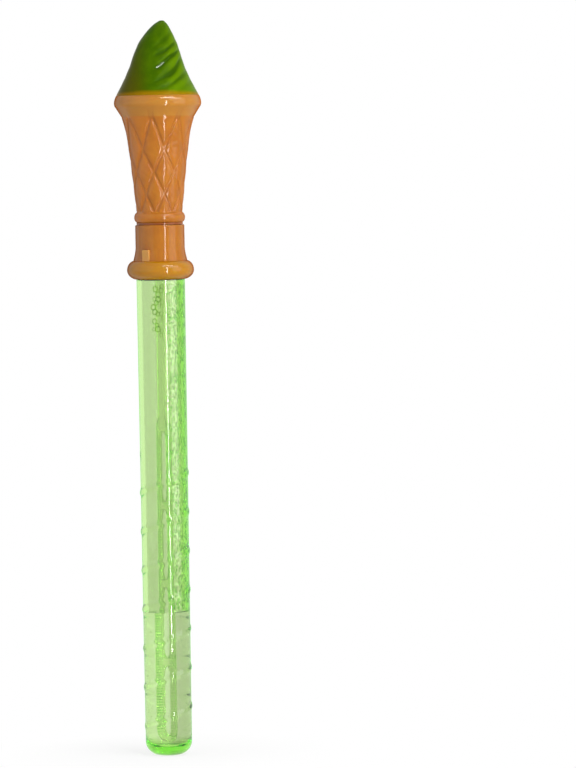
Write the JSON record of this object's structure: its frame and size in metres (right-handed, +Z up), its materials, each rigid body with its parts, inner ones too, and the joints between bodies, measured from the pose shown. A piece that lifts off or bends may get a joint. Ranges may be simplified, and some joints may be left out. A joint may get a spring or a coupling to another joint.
{
  "type": "bubble wand",
  "caption": "Tall clear tube of bubble solution with a screw collar and a waffle-cone handle with a swirl top, which lifts out a flat toothed paddle with loops.",
  "frame": {"origin": "middle of the tube's flat base, on the surface that it stands on", "axes": "+Z up the tube to the swirl; +X to the right and +Y away in the pictured view, where the lug on the collar faces front left"},
  "size_m": [0.0544, 0.0544, 0.46],
  "materials": {
    "clear_green": "transparent green, polished",
    "solution": "clear liquid",
    "waffle_tan": "glossy moulded, slightly translucent",
    "stopper_tan": "glossy moulded",
    "washer_foam": "closed-cell foam",
    "seal_rubber": "smooth rubber",
    "swirl_green": "satin sprayed paint over plastic",
    "paddle_green": "translucent green moulded"
  },
  "bodies": {
    "tube": {"tube": "clear_green", "bubble_solution": "solution"},
    "washer": {"neck_washer": "washer_foam"},
    "collar": {"collar": "waffle_tan"},
    "seal": {"stopper_seal": "seal_rubber"},
    "handle": {"waffle_cone": "waffle_tan", "swirl_top": "swirl_green", "stopper": "stopper_tan", "wand_paddle": "paddle_green"}
  },
  "joints": [
    {"name": "collar_lift", "type": "slide", "parent": "tube", "child": "washer", "axis": [0, 0, 1], "range_m": [0, 0.00661]},
    {"name": "collar_turn", "type": "hinge", "parent": "washer", "child": "collar", "pos_m": [0, 0, 0.31], "axis": [0, 0, 1], "range_deg": [0, 594]},
    {"name": "wand_pull", "type": "slide", "parent": "collar", "child": "seal", "axis": [0, 0, 1], "range_m": [0, 0.33], "deforming": ["bubble_solution"]},
    {"name": "handle_turn", "type": "hinge", "parent": "seal", "child": "handle", "pos_m": [0, 0, 0.33], "axis": [0, 0, 1], "continuous": true}
  ],
  "couplings": [
    {"joint": "collar_lift", "follows": "collar_turn", "m_per_rad": 0.00063662}
  ]
}
